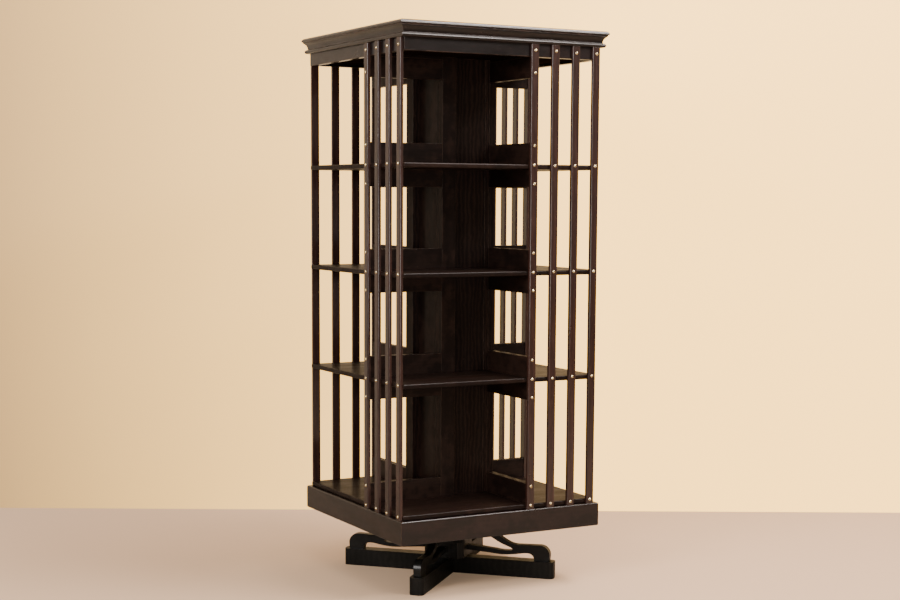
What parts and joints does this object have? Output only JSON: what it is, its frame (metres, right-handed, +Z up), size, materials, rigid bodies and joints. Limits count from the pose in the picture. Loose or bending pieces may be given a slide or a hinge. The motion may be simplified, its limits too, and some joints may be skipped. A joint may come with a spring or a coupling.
{
  "type": "revolving bookcase",
  "caption": "Square revolving bookcase with open slatted sides, a moulded top and a central column, turning on a low cross base with scroll brackets.",
  "frame": {"origin": "on the turning axis at floor level, which is the centre of the bottom of the bounding box", "axes": "+Z up along the turning axis; -Y points out of the front side and -X out of the left side, the two sides the picture shows; the base arms run along the diagonals at rest"},
  "size_m": [0.607, 0.607, 1.455],
  "materials": {
    "case_wood": "dark red-brown polished mahogany, satin, worn lighter along the edges",
    "inside_wood": "dark stained wood, duller than the outside, with visible grain",
    "slat_wood": "dark red-brown polished wood, satin",
    "base_wood": "black ebonised wood, satin",
    "bracket_iron": "black painted, satin",
    "steel": "bare steel, lightly oiled",
    "brass": "plain brass, slightly dulled"
  },
  "bodies": {
    "base": {"base_arm_lower": "base_wood", "base_arm_upper": "base_wood", "hub_block": "base_wood", "hub_cap": "base_wood", "top_plate": "base_wood", "bracket_1": "bracket_iron", "bracket_2": "bracket_iron", "bracket_3": "bracket_iron", "bracket_4": "bracket_iron", "spindle": "steel", "spindle_nut": "steel"},
    "case": {"top_board": "case_wood", "ceiling_board": "inside_wood", "shelf_1": "inside_wood", "shelf_2": "inside_wood", "shelf_3": "inside_wood", "bottom_shelf": "inside_wood", "cornice_front": "case_wood", "frieze_front": "case_wood", "skirt_front": "case_wood", "column_front": "inside_wood", "partition_front": "inside_wood", "slat_front_1": "slat_wood", "slat_front_2": "slat_wood", "slat_front_3": "slat_wood", "slat_front_4": "slat_wood", "cornice_right": "case_wood", "frieze_right": "case_wood", "skirt_right": "case_wood", "column_right": "inside_wood", "partition_right": "inside_wood", "slat_right_1": "slat_wood", "slat_right_2": "slat_wood", "slat_right_3": "slat_wood", "slat_right_4": "slat_wood", "cornice_back": "case_wood", "frieze_back": "case_wood", "skirt_back": "case_wood", "column_back": "inside_wood", "partition_back": "inside_wood", "slat_back_1": "slat_wood", "slat_back_2": "slat_wood", "slat_back_3": "slat_wood", "slat_back_4": "slat_wood", "cornice_left": "case_wood", "frieze_left": "case_wood", "skirt_left": "case_wood", "column_left": "inside_wood", "partition_left": "inside_wood", "slat_left_1": "slat_wood", "slat_left_2": "slat_wood", "slat_left_3": "slat_wood", "slat_left_4": "slat_wood", "bearing_board": "inside_wood", "guide_bush": "brass", "pivot_block": "inside_wood", "pivot_cup": "brass"}
  },
  "joints": [
    {"name": "revolve", "type": "hinge", "parent": "base", "child": "case", "pos_m": [0, 0, 0], "axis": [0, 0, 1], "continuous": true}
  ]
}
